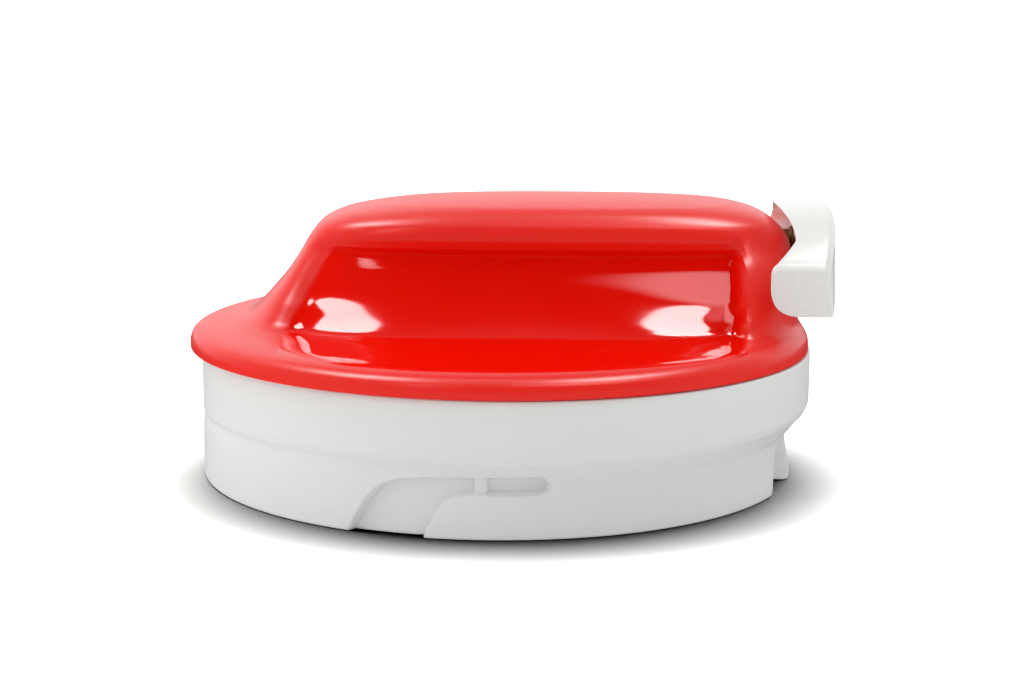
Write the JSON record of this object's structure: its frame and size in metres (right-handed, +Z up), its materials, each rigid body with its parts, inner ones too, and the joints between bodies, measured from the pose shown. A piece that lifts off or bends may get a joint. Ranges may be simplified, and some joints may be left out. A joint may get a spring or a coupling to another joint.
{
  "type": "food chopper drive lid",
  "caption": "Round drive lid of a hand-pulled food chopper: red hand grip over a white bayonet ring, with a pull handle, cord drum, recoil spring and hexagonal drive socket.",
  "frame": {"origin": "centre of the footprint's box, on the surface that the lid stands on", "axes": "+X along the grip towards the pull handle, +Z up, +Y away from the side with the slot in view"},
  "size_m": [0.1262, 0.122, 0.0545],
  "materials": {
    "cover_plastic": "moulded, satin on top and at the rim, polished in the finger scoops",
    "housing_plastic": "fine satin mould surface",
    "handle_plastic": "semi-gloss",
    "coupling_plastic": "satin",
    "case_plastic": "satin",
    "drum_plastic": "satin",
    "bush_plastic": "satin",
    "seal_rubber": "matte",
    "cord_fibre": "braided",
    "spring_steel": "rolled strip",
    "shaft_steel": "ground",
    "screw_steel": "plated",
    "eyelet_metal": "aged"
  },
  "bodies": {
    "root": {"top_cover": "cover_plastic", "housing_ring": "housing_plastic", "base_plate": "housing_plastic", "base_seal": "seal_rubber", "base_screw_1": "screw_steel", "base_screw_2": "screw_steel", "base_screw_3": "screw_steel", "base_screw_4": "screw_steel", "spring_case": "case_plastic", "spring_case_lid": "case_plastic", "case_screw_1": "screw_steel", "case_screw_2": "screw_steel", "case_screw_3": "screw_steel", "recoil_spring": "spring_steel", "lower_bush": "bush_plastic", "upper_bush": "bush_plastic", "cord_eyelet": "eyelet_metal", "cord_lead": "cord_fibre"},
    "drive": {"drive_shaft": "shaft_steel", "drive_coupling": "coupling_plastic", "drive_pin": "shaft_steel", "thrust_washer": "shaft_steel", "drum_washer": "bush_plastic", "spring_arbor": "shaft_steel", "shaft_clip": "spring_steel", "spacer_sleeve": "bush_plastic", "cord_drum": "drum_plastic", "drum_cap": "drum_plastic", "wound_cord": "cord_fibre"},
    "handle": {"pull_handle": "handle_plastic", "handle_plug": "handle_plastic", "handle_knot": "cord_fibre", "pull_cord": "cord_fibre"}
  },
  "joints": [
    {"name": "handle_pull", "type": "slide", "parent": "root", "child": "handle", "axis": [1, 0, 0], "range_m": [0, 0.45], "stiffness_N_per_m": 14, "springref_m": -0.36, "deforming": ["pull_cord"]},
    {"name": "drum_spin", "type": "hinge", "parent": "root", "child": "drive", "pos_m": [-0.00315, 0, 0.0434], "axis": [0, 0, 1], "range_deg": [0, 2460], "deforming": ["recoil_spring"]}
  ],
  "couplings": [
    {"joint": "drum_spin", "follows": "handle_pull", "rad_per_m": 95.238}
  ]
}
